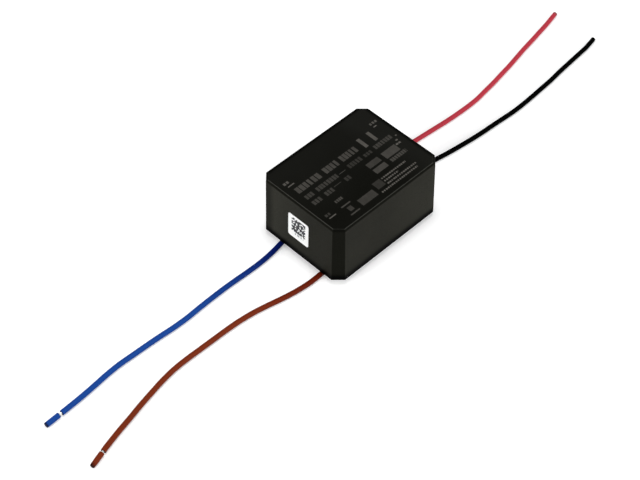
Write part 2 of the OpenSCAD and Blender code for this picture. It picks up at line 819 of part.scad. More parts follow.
// The start of a lead: down from the board through the resin, then round a bend and out under the rim
module lead_root(path, d) {
    way = first_way(path);
    hole = hole_of(path);
    translate([hole[0], hole[1], 0]) rotate([0, 0, atan2(way[1], way[0])]) {
        translate([0, 0, d / 2 + bend_r]) cylinder(h = board_z - d / 2 - bend_r, d = d);
        translate([bend_r, 0, d / 2 + bend_r]) rotate([90, 0, 0]) rotate([0, 0, 180])
            rotate_extrude(angle = 90) translate([bend_r, 0]) circle(d = d);
        translate([bend_r, 0, d / 2]) rotate([0, 90, 0]) cylinder(h = lead_straight, d = d);
    }
}

module lead_roots() {
    lead_root(neutral_path, ac_lead_d);
    lead_root(line_path, ac_lead_d);
    lead_root(positive_path, dc_lead_d);
    lead_root(negative_path, dc_lead_d);
}

// The free length of a lead: an eight-sided tube along its path, lying on the surface
module free_lead(path, d) {
    sides = 8;
    n = len(path);
    function way(i) = i == 0 ? first_way(path)
                    : i == n - 1 ? last_way(path)
                    : unit(unit(path[i + 1] - path[i]) + unit(path[i] - path[i - 1]));
    function corner(i, k) = let (w = way(i), a = k * 360 / sides)
        [path[i][0] - w[1] * cos(a) * d / 2, path[i][1] + w[0] * cos(a) * d / 2, d / 2 + sin(a) * d / 2];
    points = [for (i = [0 : n - 1], k = [0 : sides - 1]) corner(i, k)];
    skin = [for (i = [0 : n - 2], k = [0 : sides - 1])
            let (here = i * sides, ahead = here + sides, turn = (k + 1) % sides)
            [here + k, here + turn, ahead + turn, ahead + k]];
    first_end = [for (k = [0 : sides - 1]) sides - 1 - k];
    last_end = [for (k = [0 : sides - 1]) (n - 1) * sides + k];
    polyhedron(points, concat([first_end, last_end], skin));
}

// A round piece beyond the end of a lead's path
module beyond_end(path, lead_d, start, length, d) {
    way = last_way(path);
    at = end_of(path) + way * start;
    translate([at[0], at[1], lead_d / 2]) rotate([0, 0, atan2(way[1], way[0])]) rotate([0, 90, 0])
        cylinder(h = length, d = d);
}

case_shell();  // case
resin();
end_label();
circuit_board();
solder_joints();
fuse();
varistor();
film_capacitor();
inrush_thermistor();
bridge_rectifier();
choke_base();
choke_core();
choke_winding(1);  // choke_winding_a
choke_winding(-1);  // choke_winding_b
bulk_capacitor();
transformer_bobbin();
transformer_pins();
transformer_winding();
transformer_core_lower();
transformer_core_upper();
output_capacitor();
output_rectifier();
bridging_capacitor();
power_transistor();
controller_chip();
optocoupler();
output_inductor();
chip_resistors();
chip_capacitors();
lead_conductors();
color("#1748a8") lead_root(neutral_path, ac_lead_d);  // neutral_lead_root
color("#7d3a20") lead_root(line_path, ac_lead_d);  // line_lead_root
color("#c8374b") lead_root(positive_path, dc_lead_d);  // positive_lead_root
color("#141414") lead_root(negative_path, dc_lead_d);  // negative_lead_root
color("#1748a8") free_lead(neutral_path, ac_lead_d);  // neutral_lead
color("#7d3a20") free_lead(line_path, ac_lead_d);  // line_lead
color("#c8374b") free_lead(positive_path, dc_lead_d);  // positive_lead
color("#141414") free_lead(negative_path, dc_lead_d);  // negative_lead
color("#d5d3ce") beyond_end(neutral_path, ac_lead_d, 0, neutral_gap, conductor_d);  // neutral_lead_strands
color("#d5d3ce") beyond_end(line_path, ac_lead_d, 0, line_gap, conductor_d);  // line_lead_strands
color("#1748a8") beyond_end(neutral_path, ac_lead_d, neutral_gap, neutral_slug_l, ac_lead_d);  // neutral_lead_slug
color("#7d3a20") beyond_end(line_path, ac_lead_d, line_gap, line_slug_l, ac_lead_d);  // line_lead_slug
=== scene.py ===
"""Looks for a potted ac-dc power supply that lies on a pale floor with its four leads."""
import math

import bmesh
import bpy
from mathutils import Matrix, Vector


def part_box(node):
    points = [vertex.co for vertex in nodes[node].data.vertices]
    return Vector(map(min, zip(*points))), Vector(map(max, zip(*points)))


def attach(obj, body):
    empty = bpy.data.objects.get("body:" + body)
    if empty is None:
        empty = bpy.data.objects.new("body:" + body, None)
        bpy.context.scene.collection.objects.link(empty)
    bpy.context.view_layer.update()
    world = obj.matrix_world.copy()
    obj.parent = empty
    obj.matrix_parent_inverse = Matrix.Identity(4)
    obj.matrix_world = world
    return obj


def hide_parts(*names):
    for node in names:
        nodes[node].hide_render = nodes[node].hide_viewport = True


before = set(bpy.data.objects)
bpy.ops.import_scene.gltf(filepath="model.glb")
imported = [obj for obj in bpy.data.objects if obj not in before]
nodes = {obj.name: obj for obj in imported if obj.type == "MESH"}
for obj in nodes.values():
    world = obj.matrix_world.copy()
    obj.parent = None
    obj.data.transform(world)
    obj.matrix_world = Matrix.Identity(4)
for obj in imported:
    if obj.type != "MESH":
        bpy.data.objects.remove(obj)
scene = bpy.context.scene
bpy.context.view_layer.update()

MM = 0.001
UP = Vector((0, 0, 1))
CASE_LOW, CASE_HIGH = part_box("case")
LABEL_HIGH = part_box("end_label")[1]


# Camera: a long lens over the mains end's near corner, turned a little about its own axis
EYE = Vector((-0.28563, -0.27179, 0.44581))
VIEW = Vector((0.45999, 0.46258, -0.75791)).normalized()
ROLL = math.radians(-0.094)
LENS_MM = 90
SENSOR_MM = 36
PICTURE_W = 640

# Half a pixel as a share of the distance, by which the view is moved across and down
HALF_PIXEL = 0.5 * SENSOR_MM / LENS_MM / PICTURE_W


def make_camera():
    data = bpy.data.cameras.new("camera")
    data.lens = LENS_MM
    data.sensor_width = SENSOR_MM
    data.clip_start = 0.01
    data.clip_end = 20
    right = VIEW.cross(UP).normalized()
    down = VIEW.cross(right)
    across = right * math.cos(ROLL) + down * math.sin(ROLL)
    below = down * math.cos(ROLL) - right * math.sin(ROLL)
    back = -(VIEW - (across + below) * HALF_PIXEL).normalized()
    across = (-below).cross(back).normalized()
    axes = Matrix((across, back.cross(across), back)).transposed().to_4x4()
    camera = bpy.data.objects.new("camera", data)
    camera.matrix_world = Matrix.Translation(EYE) @ axes
    scene.collection.objects.link(camera)
    scene.camera = camera


make_camera()


# Materials

class Graph:
    """A short way to write shader nodes and their links."""

    def __init__(self, tree):
        self.tree = tree

    def put(self, socket, value):
        """Links another node's output to a socket, or sets a value on it."""
        if isinstance(value, bpy.types.NodeSocket):
            self.tree.links.new(value, socket)
        elif socket.type == "RGBA":
            socket.default_value = (*value, 1.0)
        else:
            socket.default_value = value

    def node(self, kind, *values):
        """A new node, with values or links for its first sockets."""
        new = self.tree.nodes.new("ShaderNode" + kind)
        for socket, value in zip(new.inputs, values):
            self.put(socket, value)
        return new

    def math(self, operation, *values):
        node = self.node("Math", *values)
        node.operation = operation
        return node.outputs[0]

    def split(self, vector):
        return self.node("SeparateXYZ", vector).outputs

    def join(self, x, y, z):
        return self.node("CombineXYZ", x, y, z).outputs[0]

    def ramp(self, value, low, high, out_low=0.0, out_high=1.0):
        """Goes from out_low to out_high while the value goes from low to high, and stops there."""
        return self.node("MapRange", value, low, high, out_low, out_high).outputs[0]

    def seen(self):
        """1 for what the camera sees, also through metal or glass, and 0 for light that falls on things."""
        rays = self.node("LightPath").outputs
        passed_on = self.math("MAXIMUM", rays["Is Glossy Ray"], rays["Is Transmission Ray"])
        return self.math("MAXIMUM", rays["Is Camera Ray"], passed_on)


class Tree(Graph):
    """The nodes of one material, round its Principled shader."""

    def __init__(self, name):
        self.material = bpy.data.materials.new(name)
        self.material.use_nodes = True
        super().__init__(self.material.node_tree)
        self.shader = self.tree.nodes["Principled BSDF"]
        coords = self.node("TexCoord")
        self.point = coords.outputs["Object"]
        self.normal = coords.outputs["Normal"]

    def noise(self, scale, detail):
        node = self.node("TexNoise", self.point)
        node.inputs["Scale"].default_value = scale
        node.inputs["Detail"].default_value = detail
        return node.outputs["Fac"]

    def cells(self, scale):
        node = self.node("TexVoronoi", self.point)
        node.inputs["Scale"].default_value = scale
        return node.outputs["Distance"]

    def random(self, vector):
        node = self.node("TexWhiteNoise", vector)
        node.noise_dimensions = "3D"
        return node.outputs["Value"]

    def mix(self, share, a, b):
        """A blend of two colours, all of the second one where the share is 1."""
        node = self.node("Mix", share)
        node.data_type = "RGBA"
        for socket, color in zip((s for s in node.inputs if s.type == "RGBA"), (a, b)):
            self.put(socket, color)
        return [s for s in node.outputs if s.type == "RGBA"][0]

    def grained(self, slow, fine, share, tones):
        """A tone between two others that follows fine grain for a share and slow clouds for the rest."""
        clouds = self.math("MULTIPLY", slow, 1 - share)
        return self.mix(self.math("MULTIPLY_ADD", fine, share, clouds), *tones)

    def bump(self, height, strength, distance):
        node = self.node("Bump")
        node.inputs["Strength"].default_value = strength
        node.inputs["Distance"].default_value = distance
        self.put(node.inputs["Height"], height)
        self.put(self.shader.inputs["Normal"], node.outputs["Normal"])

    def finish(self, color, roughness, metallic=0.0, specular=0.5):
        self.put(self.shader.inputs["Base Color"], color)
        self.put(self.shader.inputs["Roughness"], roughness)
        self.shader.inputs["Metallic"].default_value = metallic
        self.shader.inputs["Specular IOR Level"].default_value = specular
        return self.material


# Noise mostly keeps between these two values
NOISE_RANGE = (0.3, 0.7)

# Plain surfaces: scale of the slow clouds, share and bump of the fine grain, and how far the gloss goes
SURFACE_CLOUDS = 90
GRAIN_SHARE = 0.35
GRAIN_BUMP = 0.35
GLOSS_PLAY = 0.06


def shades(color, share):
    """A darker and a lighter version of one colour."""
    return tuple(c * (1 - share) for c in color), tuple(min(1.0, c * (1 + share)) for c in color)


def surface(name, color, roughness, metallic=0.0, specular=0.5, grain=2500, spread=0.12, depth=0.00002):
    """A moulded, coated or metal surface: fine grain, slow changes of tone and of gloss."""
    t = Tree(name)
    slow = t.noise(SURFACE_CLOUDS, detail=3)
    fine = t.noise(grain, detail=3)
    tone = t.grained(slow, fine, GRAIN_SHARE, shades(color, spread))
    t.bump(fine, GRAIN_BUMP, depth)
    gloss = t.ramp(slow, *NOISE_RANGE, roughness - GLOSS_PLAY, roughness + GLOSS_PLAY)
    return t.finish(tone, gloss, metallic, specular)


def paint(material, *names):
    """Puts one material on every slot of some CAD nodes."""
    for name in names:
        mesh = nodes[name].data
        mesh.materials.clear()
        mesh.materials.append(material)


# Leads: each leaves the case a little inside its end
EXIT_X = CASE_HIGH.x - 0.0003
AC_D, DC_D = 0.0020, 0.0019
CORE_D = 0.0010
MAINS_SIDE, DC_SIDE = -1, 1

# Their places across the case, in mm
NEUTRAL_Y, LINE_Y = 9.0, -11.7
POSITIVE_Y, NEGATIVE_Y = 12.2, 1.0

# Near their ends both mains leads have a gap with bare strands and a loose bit of insulation
NEUTRAL_GAP, NEUTRAL_BIT = 0.0011, 0.0058
LINE_GAP, LINE_BIT = 0.0007, 0.0059
LINE_TAPER = 0.86

# The free leads' routes in mm, outwards from the exit and towards +Y, as in the part's source
NEUTRAL = [(0, 0), (6, -1), (12, -1.5), (18, -1.5), (24, -1.3), (30, -1.2), (36, -1.3), (42, -1.5),
           (48, -1.8), (54, -1.7), (60, -1.3), (66, -1), (72, -0.8), (78, -0.6), (84, -0.9), (90, -1.5),
           (96, -2), (102, -2.3), (104.7, -2.4)]
LINE = [(0, 0), (6, -0.1), (12, 0.5), (18, 1.6), (24, 3), (30, 4.2), (36, 4.9), (42, 5.2), (48, 5.3),
        (54, 5.4), (60, 5.5), (66, 5.3), (72, 4.5), (78, 3.3), (84, 2), (90, 0.5), (96, -0.9),
        (102, -2.5), (104.6, -3.3)]
POSITIVE = [(0, 0), (6, -0.6), (12, -1.3), (18, -1.9), (24, -2.4), (30, -2.9), (36, -3.4), (42, -3.7),
            (48, -3.8), (54, -3.6), (60, -2.8), (66, -2), (72, -1), (78, 0), (84, 1.2), (90, 2.4),
            (96, 3.4), (102, 4.5), (108, 5.6), (112, 6.5), (115.6, 7.3)]
NEGATIVE = [(0, 0), (6, -1.1), (12, -2.2), (18, -3.2), (24, -4.2), (30, -5), (36, -5.7), (42, -6.2),
            (48, -6.5), (54, -6.9), (60, -7.2), (66, -7.1), (72, -6.8), (78, -6.4), (84, -6), (90, -5.3),
            (96, -4.8), (102, -4.3), (108, -3.8), (110.5, -3.4), (112.7, -3), (114.7, -2.6)]


def route(side, exit_y, steps, diameter):
    """A lead's middle line, in metres, when it lies on the floor."""
    return [Vector((side * (EXIT_X + x * MM), (exit_y + y) * MM, diameter / 2)) for x, y in steps]


def smooth(points, per_span=8):
    """A finer line through the same points, which starts and ends along the first and last span."""
    ends = [points[0] * 2 - points[1], *points, points[-1] * 2 - points[-2]]
    line = []
    for a, b, c, d in zip(ends, ends[1:], ends[2:], ends[3:]):
        for k in range(per_span):
            t = k / per_span
            line.append((b * 2 + (c - a) * t + (a * 2 - b * 5 + c * 4 - d) * t ** 2
                         + (b * 3 - a - c * 3 + d) * t ** 3) / 2)
    return line + [points[-1].copy()]


def way_at(line, i):
    """The direction of a line at one of its points."""
    return (line[min(i + 1, len(line) - 1)] - line[max(i - 1, 0)]).normalized()


def length_of(line):
    return sum((b - a).length for a, b in zip(line, line[1:]))


def ring(bm, centre, way, radius, sides):
    """Points round a level direction, which start at its left."""
    side = Vector((-way.y, way.x, 0)).normalized()
    turns = (2 * math.pi * k / sides for k in range(sides))
    return [bm.verts.new(centre + (side * math.cos(a) + UP * math.sin(a)) * radius) for a in turns]


def bridge(bm, a, b):
    """Faces between two rings."""
    n = len(a)
    for k in range(n):
        bm.faces.new((a[k], a[(k + 1) % n], b[(k + 1) % n], b[k]))


def object_from(bm, name, material):
    bmesh.ops.recalc_face_normals(bm, faces=bm.faces)
    mesh = bpy.data.meshes.new(name)
    bm.to_mesh(mesh)
    bm.free()
    mesh.materials.append(material)
    for face in mesh.polygons:
        face.use_smooth = True
    obj = bpy.data.objects.new(name, mesh)
    scene.collection.objects.link(obj)
    return obj


# Cut ends: how far their lip is rounded, how deep their bore is, and how deep a loose bit's outer one, a
# shallow dimple whose dark bottom is painted shade of a deeper bore
LIP = 0.00008
LIP_FACE = LIP * 1.6
BORE_DEPTH = 0.0005
DIMPLE = 0.0002
SIDES = 24

# A cut end's rings need this much of the tube's length
END_ROOM = 3 * LIP

# A face that looks along the leads more than this is part of a cut end
CUT_FACE = 0.8


def outer_end(radius, depth):
    """Rings of a rounded cut end with its bore, by their distance back from the cut and their radius."""
    core = CORE_D / 2
    rim = (LIP, radius), (LIP * 0.3, radius - LIP * 0.7), (0, radius - LIP_FACE)
    bore = (0, core + LIP * 0.6), (LIP * 0.5, core), (depth, core)
    return rim + bore


def inner_end(radius):
    """Rings of a plainer cut end, for the side of a loose bit that faces the gap."""
    return (LIP, radius), (0, radius - LIP_FACE), (0, CORE_D / 2), (BORE_DEPTH, CORE_D / 2)


def close_end(bm, last, cut, out, way, rings):
    """Goes on from a tube's last ring by others round its cut end and down the bore, and closes that."""
    for back, radius in rings:
        new = ring(bm, cut - out * back, way, radius, SIDES)
        bridge(bm, last, new)
        last = new
    bm.faces.new(last)


def insulation(name, line, diameter, material, both_ends=False, taper=1.0, depth=BORE_DEPTH):
    """A tube of insulation along a line, with a cut end at its far end, or at both."""
    bm = bmesh.new()
    radius = diameter / 2
    body = []
    total = length_of(line)
    gone = 0.0
    for i, p in enumerate(line):
        if i:
            gone += (p - line[i - 1]).length
        if (gone < END_ROOM and both_ends) or total - gone < END_ROOM:
            continue
        narrowed = radius * (1 + (taper - 1) * (gone / total) ** 4)
        body.append(ring(bm, p, way_at(line, i), narrowed, SIDES))
    for a, b in zip(body, body[1:]):
        bridge(bm, a, b)
    way = way_at(line, len(line) - 1)
    close_end(bm, body[-1], line[-1], way, way, outer_end(radius * taper, depth))
    if both_ends:
        way = way_at(line, 0)
        close_end(bm, body[0], line[0], -way, way, inner_end(radius))
    else:
        bm.faces.new(body[0])
    tube = object_from(bm, name, material)
    for face in tube.data.polygons:
        face.use_smooth = abs(face.normal.x) < CUT_FACE
    return tube


# Strands: the wires in each layer with their distance from the middle in wire radii, and a slow twist
LAYERS = ((1, 0), (6, 2), (12, 3.9))
WIRE_R = CORE_D / 10
WIRE_FILL = 0.97
WIRE_SIDES = 8
WIRE_STEP = 0.00025
TURNS_PER_M = 55


def strands(name, start, way, length, material):
    """A bundle of thin wires with a slow twist: one in the middle, six round it and twelve outside."""
    bm = bmesh.new()
    side = Vector((-way.y, way.x, 0)).normalized()
    steps = max(3, round(length / WIRE_STEP))
    for count, orbit in LAYERS:
        for k in range(count):
            last = None
            for i in range(steps + 1):
                a = 2 * math.pi * (k / count + TURNS_PER_M * length * i / steps)
                off = (side * math.cos(a) + UP * math.sin(a)) * (orbit * WIRE_R)
                centre = start + way * length * i / steps + off
                new = ring(bm, centre, way, WIRE_R * WIRE_FILL, WIRE_SIDES)
                if last:
                    bridge(bm, last, new)
                else:
                    bm.faces.new(new)
                last = new
            bm.faces.new(last)
    return object_from(bm, name, material)


# Insulation: scales of its clouds, its draw lines and the uneven start of a dull tip
LEAD_CLOUDS, DRAW_LINES, TIP_CLOUDS = 130, 3200, 1500
LEAD_SPREAD = 0.14
LEAD_GLOSS_PLAY = 0.05
DRAW_SHARE = 0.3
DRAW_BUMP = 0.2
DRAW_DEPTH = 0.00001

# How far a dull tip's start wanders, and the share of the colour that a cut face keeps, as painted shade
TIP_PLAY = 0.0008
CUT_SHADE_SHARE = 0.12


def insulation_material(name, color, near=None, near_reach=None, tip=None, tip_reach=None,
                        specular=0.04, roughness=0.42):
    """Smooth insulation with fine draw lines and cut faces darkened as painted shade, and on some leads
    painted shade, a darker tone, near the case, and a dull tip. A reach says where one tone becomes the
    other, from the case's middle."""
    t = Tree(name)
    slow = t.noise(LEAD_CLOUDS, detail=2)
    fine = t.noise(DRAW_LINES, detail=2)
    tone = t.grained(slow, fine, DRAW_SHARE, shades(color, LEAD_SPREAD))
    x = t.math("ABSOLUTE", t.split(t.point)[0])
    if near:
        # Painted shade: a darker tone near the case, which shadows the lead there
        tone = t.mix(t.ramp(x, *near_reach), near, tone)
    if tip:
        uneven_x = t.math("MULTIPLY_ADD", t.noise(TIP_CLOUDS, detail=2), TIP_PLAY, x)
        tone = t.mix(t.ramp(uneven_x, *tip_reach), tone, tip)
    # Painted shade: cut faces keep only a small share of the colour
    cut = t.math("GREATER_THAN", t.math("ABSOLUTE", t.split(t.normal)[0]), CUT_FACE)
    tone = t.mix(cut, tone, tuple(c * CUT_SHADE_SHARE for c in color))
    t.bump(fine, DRAW_BUMP, DRAW_DEPTH)
    gloss = t.ramp(slow, *NOISE_RANGE, roughness - LEAD_GLOSS_PLAY, roughness + LEAD_GLOSS_PLAY)
    return t.finish(tone, gloss, 0.0, specular)


BLUE = insulation_material("blue_insulation", (0.0090, 0.057, 0.285),
                           near=(0.0004, 0.0075, 0.115), near_reach=(0.032, 0.070),
                           tip=(0.004, 0.010, 0.050), tip_reach=(0.1377, 0.1383))
BROWN = insulation_material("brown_insulation", (0.175, 0.0250, 0.0070),
                            near=(0.115, 0.0090, 0.0010), near_reach=(0.030, 0.060),
                            tip=(0.030, 0.0040, 0.0020), tip_reach=(0.1364, 0.1376))
RED = insulation_material("red_insulation", (0.480, 0.0420, 0.0630),
                          tip=(0.300, 0.0700, 0.0800), tip_reach=(0.1411, 0.1420))
BLACK = insulation_material("black_insulation", (0.0006, 0.0006, 0.0006), specular=0.008, roughness=0.5)
TINNED = surface("tinned_strands", (0.86, 0.86, 0.84), roughness=0.34, metallic=0.5, grain=4000,
                 spread=0.06)


def settle(piece):
    """Every piece rides on the root, the part's only body."""
    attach(piece, "root")


# How far bare strands reach into the bores on both sides of a gap, and how many spans a loose bit has
STRAND_REACH = BORE_DEPTH * 0.9
BIT_SPANS = 12


def free_lead(color, node, side, exit_y, steps, diameter, material, gap=None, bit=None, bit_taper=1.0):
    """One free lead with its conductor and, where it has a gap, the loose bit of insulation beyond that.
    The bit was pulled out by the gap's width, so the strands end in it and its far end is empty; that end
    is a shallow dimple whose dark face is painted shade."""
    line = smooth(route(side, exit_y, steps, diameter))
    end = line[-1]
    way = (end - line[-2]).normalized()
    lead = insulation(color + "_lead", line, diameter, material)
    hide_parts(node)
    settle(lead)
    core_name = color + "_lead_core"
    if gap is None:
        core = strands(core_name, end - way * BORE_DEPTH, way, BORE_DEPTH - LIP, TINNED)
    else:
        core = strands(core_name, end - way * STRAND_REACH, way, gap + 2 * STRAND_REACH, TINNED)
        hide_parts(node + "_strands")
        start = end + way * gap
        bit_line = [start + way * bit * k / BIT_SPANS for k in range(BIT_SPANS + 1)]
        loose = insulation(color + "_lead_end", bit_line, diameter, material, True, bit_taper, DIMPLE)
        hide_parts(node + "_slug")
        settle(loose)
    settle(core)


free_lead("blue", "neutral_lead", MAINS_SIDE, NEUTRAL_Y, NEUTRAL, AC_D, BLUE, NEUTRAL_GAP, NEUTRAL_BIT)
free_lead("brown", "line_lead", MAINS_SIDE, LINE_Y, LINE, AC_D, BROWN, LINE_GAP, LINE_BIT, LINE_TAPER)
free_lead("red", "positive_lead", DC_SIDE, POSITIVE_Y, POSITIVE, DC_D, RED)
free_lead("black", "negative_lead", DC_SIDE, NEGATIVE_Y, NEGATIVE, DC_D, BLACK)
paint(BLUE, "neutral_lead_root")
paint(BROWN, "line_lead_root")
paint(RED, "positive_lead_root")
paint(BLACK, "negative_lead_root")


# Print on the top. How strongly the ink covers the plastic: thin print is brighter than wide fields
FAINT, SOFT, PLAIN, STRONG, FULL = 0.19, 0.27, 0.37, 0.56, 0.70
INK = (0.155, 0.145, 0.130)

# Rows of plain blocks, irregular in width: from and to along the case, from and to across it, pitch, ink
ROWS = [
    (4.6, 16.4, 13.8, 16.8, 1.97, PLAIN),
    (18.3, 25.6, 13.8, 16.8, 1.83, PLAIN),
    (26.7, 35.0, 13.8, 16.8, 1.66, PLAIN),
    (4.7, 8.7, 18.8, 20.9, 1.33, SOFT),
    (10.2, 20.9, 18.8, 20.9, 1.34, SOFT),
    (26.1, 32.8, 18.8, 20.9, 1.34, FAINT),
    (34.0, 38.1, 19.3, 20.9, 1.37, FAINT),
    (39.6, 48.4, 18.8, 20.8, 1.26, SOFT),
    (4.7, 9.0, 22.5, 24.6, 1.43, SOFT),
    (10.9, 15.1, 22.5, 24.6, 1.40, SOFT),
    (20.9, 23.6, 22.5, 24.5, 1.40, FAINT),
    (10.7, 14.2, 27.9, 29.2, 0.90, PLAIN),
    (3.4, 5.8, 9.3, 10.5, 1.40, STRONG),
    (3.5, 5.7, 30.3, 31.5, 1.40, SOFT),
    (46.8, 50.3, 9.9, 11.0, 1.25, STRONG),
    (39.3, 47.2, 27.6, 29.3, 1.10, PLAIN),
    (46.4, 48.9, 23.8, 24.6, 1.30, FULL),
    (30.4, 42.8, 31.8, 32.5, 1.00, FULL),
    (30.4, 37.5, 33.3, 34.0, 1.00, FULL),
    (30.4, 45.0, 34.9, 35.6, 1.00, FULL),
    (25.9, 44.2, 36.5, 37.2, 1.00, FULL),
]

# Plain bars and fields: from and to along the case, from and to across it, ink
BARS = [
    (3.9, 6.9, 11.5, 12.0, FULL),
    (3.8, 7.1, 32.3, 32.8, FULL),
    (46.9, 48.5, 12.0, 12.5, FULL),
    (49.5, 50.2, 20.5, 21.1, FULL),
    (47.8, 48.8, 22.3, 22.9, FULL),
    (21.3, 24.4, 19.9, 20.2, PLAIN),
    (15.6, 19.2, 22.9, 23.2, SOFT),
    (37.5, 39.0, 12.4, 17.6, STRONG),
    (42.5, 44.0, 12.4, 17.6, STRONG),
    (31.1, 37.1, 23.4, 26.0, SOFT),
    (31.1, 37.1, 27.0, 29.5, PLAIN),
    (39.0, 46.0, 23.4, 26.9, PLAIN),
    (10.4, 14.8, 31.6, 32.2, PLAIN),
    (10.4, 14.8, 36.4, 37.0, PLAIN),
    (11.6, 13.6, 33.2, 35.4, SOFT),
    (16.7, 24.3, 33.3, 36.7, SOFT),
    (26.0, 29.8, 31.5, 35.1, FAINT),
]

# How much of its pitch a block fills, how far the print's edges wander in mm, and how much ink is left
BLOCK_SHARES = (0.62, 0.86)
EDGE_PLAY = 0.16
EDGE_SCALES = 2600, 2300
WORN = (0.75, 1.0)
WEAR_SCALE = 420


def uneven(t, place, scale):
    """A place on the top in mm that wanders a little, so that the print's edges aren't straight."""
    wander = t.math("SUBTRACT", t.noise(scale, detail=1), 0.5)
    return t.math("ADD", place, t.math("MULTIPLY", wander, EDGE_PLAY))


def field(t, u, v, u0, u1, v0, v1):
    """1 inside a rectangle of the top, and 0 outside it."""
    return t.math("MULTIPLY", t.math("COMPARE", u, (u0 + u1) / 2, (u1 - u0) / 2),
                  t.math("COMPARE", v, (v0 + v1) / 2, (v1 - v0) / 2))


def print_mask(t, x, y):
    """Share of print at each point of the top, where u is from the mains end and v from the far edge."""
    u = uneven(t, t.math("MULTIPLY_ADD", x, 1 / MM, -CASE_LOW.x / MM), EDGE_SCALES[0])
    v = uneven(t, t.math("MULTIPLY_ADD", y, -1 / MM, CASE_HIGH.y / MM), EDGE_SCALES[1])
    total = 0.0
    for u0, u1, v0, v1, ink in BARS:
        total = t.math("MAXIMUM", total, t.math("MULTIPLY", field(t, u, v, u0, u1, v0, v1), ink))
    for u0, u1, v0, v1, pitch, ink in ROWS:
        along = t.math("DIVIDE", t.math("SUBTRACT", u, u0), pitch)
        dice = t.random(t.join(t.math("FLOOR", along), v0, 0.0))
        block = t.math("LESS_THAN", t.math("FRACT", along), t.ramp(dice, 0.0, 1.0, *BLOCK_SHARES))
        row = t.math("MULTIPLY", field(t, u, v, u0, u1, v0, v1), block)
        total = t.math("MAXIMUM", total, t.math("MULTIPLY", row, ink))
    return t.math("MULTIPLY", total, t.ramp(t.noise(WEAR_SCALE, detail=3), *NOISE_RANGE, *WORN))


# Case: spark-textured walls, a smoother top, edge radii and corner cuts. The walls' tones are lighter than
# those of the top and the corner cuts: a painted reflection.
# Each pair of tones is that of the plastic's dark and of its light grains
CORNER_TONES = (0.0050, 0.0051, 0.0036), (0.0084, 0.0085, 0.0062)
TOP_TONES = (0.0039, 0.0040, 0.0029), (0.0073, 0.0073, 0.0058)
SHEEN_TONES = (0.0085, 0.0086, 0.0070), (0.0131, 0.0132, 0.0116)
WALL_TONES = (0.0172, 0.0170, 0.0136), (0.0378, 0.0374, 0.0302)
# Painted shade along the rim and on the top's margins
RIM_SHADE_TONE = (0.0002, 0.0002, 0.0002)
MARGIN_TONE = (0.0004, 0.0004, 0.0003)
# Painted shade on the rounded edges, and a painted highlight on the glinting line
ROUNDING_TONE = (0.0042, 0.0042, 0.0032)
GLINT_TONE = (0.040, 0.040, 0.035)

# Scales of the plastic's clouds, sparks and pits, the share of the clouds in its tone, and its relief
CASE_CLOUDS, SPARKS, PITS = 55, 5200, 6500
CLOUD_SHARE = 0.35
SPARK_RANGE = (0.34, 0.66)
SPARK_SHARE = 0.6
CASE_BUMP = 0.30
CASE_RELIEF = 0.00003
CASE_GLOSS = (0.44, 0.54)

# Painted sheen on the top and painted shade on the walls, which change slowly: from one place to another
# along X or Y, and their strength at both
FAR_SHEEN = (-0.012, 0.014, 0.0, 0.55)
DC_SHEEN = (0.010, 0.022, 0.0, 1.0)
LONG_SHADE = (0.0, 0.025, 0.23, 0.0)
NEAR_END_SHADE = (-0.006, 0.009, 0.33, 0.0)
FAR_END_SHADE = (0.0125, 0.0150, 0.0, 0.46)

# Painted shade: the walls darken towards the rim, and the top along its two unlit margins
RIM_SHADE = (CASE_LOW.z + 0.0016, CASE_LOW.z + 0.0044)
MARGIN_W = 0.0014
MARGIN_X, MARGIN_Y = CASE_HIGH.x - MARGIN_W, CASE_HIGH.y - MARGIN_W

# Parts of the case by their normals: where a wall and the level top begin, what looks to the mains end,
# and the middle and half width of the rise of a rounded edge and of the line on it that catches the light.
# An edge is straight where the product of the normal's two level parts stays under the last value
WALL_FROM = (0.90, 0.985)
LEVEL_FROM = (0.90, 0.99)
FLAT_TOP = 0.995
TO_MAINS_END = -0.5
ROUNDING = (0.57, 0.41)
GLINT = (0.95, 0.04)
STRAIGHT = 0.02


def plastic_grain(t, slow, spark):
    """How light the plastic is at each point, between its dark and its light grains."""
    clouds = t.math("MULTIPLY", t.ramp(slow, *NOISE_RANGE), CLOUD_SHARE)
    return t.math("MULTIPLY_ADD", t.ramp(spark, *SPARK_RANGE), 1 - CLOUD_SHARE, clouds)


def top_tone(t, grain, x, y):
    """The top, which gets lighter towards its far long edge and its dc end: a painted sheen."""
    sheen = t.math("ADD", t.ramp(y, *FAR_SHEEN), t.ramp(x, *DC_SHEEN))
    return t.mix(sheen, t.mix(grain, *TOP_TONES), t.mix(grain, *SHEEN_TONES))


def wall_tone(t, grain, x, y, nx):
    """The walls, lighter than the top as a painted reflection. Painted shade: the long ones darken towards
    the mains end, and that end's own towards its two sides.
    """
    long_shade = t.ramp(x, *LONG_SHADE)
    end_shade = t.math("MAXIMUM", t.ramp(y, *NEAR_END_SHADE), t.ramp(y, *FAR_END_SHADE))
    at_mains_end = t.math("LESS_THAN", nx, TO_MAINS_END)
    more = t.math("SUBTRACT", end_shade, long_shade)
    shade = t.math("MULTIPLY_ADD", at_mains_end, more, long_shade)
    return t.mix(shade, t.mix(grain, *WALL_TONES), (0.0, 0.0, 0.0))


def with_rim_shade(t, tone, z):
    """The tone with painted shade along the rim, which fades upwards."""
    rise = t.ramp(z, *RIM_SHADE)
    return t.mix(t.math("MULTIPLY", rise, t.math("SUBTRACT", 2.0, rise)), RIM_SHADE_TONE, tone)


def with_margins(t, tone, x, y, wall):
    """The tone with painted shade in dark margins on the top along the dc end and the far long edge."""
    outer = t.math("MAXIMUM", t.math("SUBTRACT", x, MARGIN_X), t.math("SUBTRACT", y, MARGIN_Y))
    margin = t.math("MULTIPLY", t.math("SUBTRACT", 1.0, wall), t.ramp(outer, -MARGIN_W, 0.0))
    return t.mix(margin, tone, MARGIN_TONE)


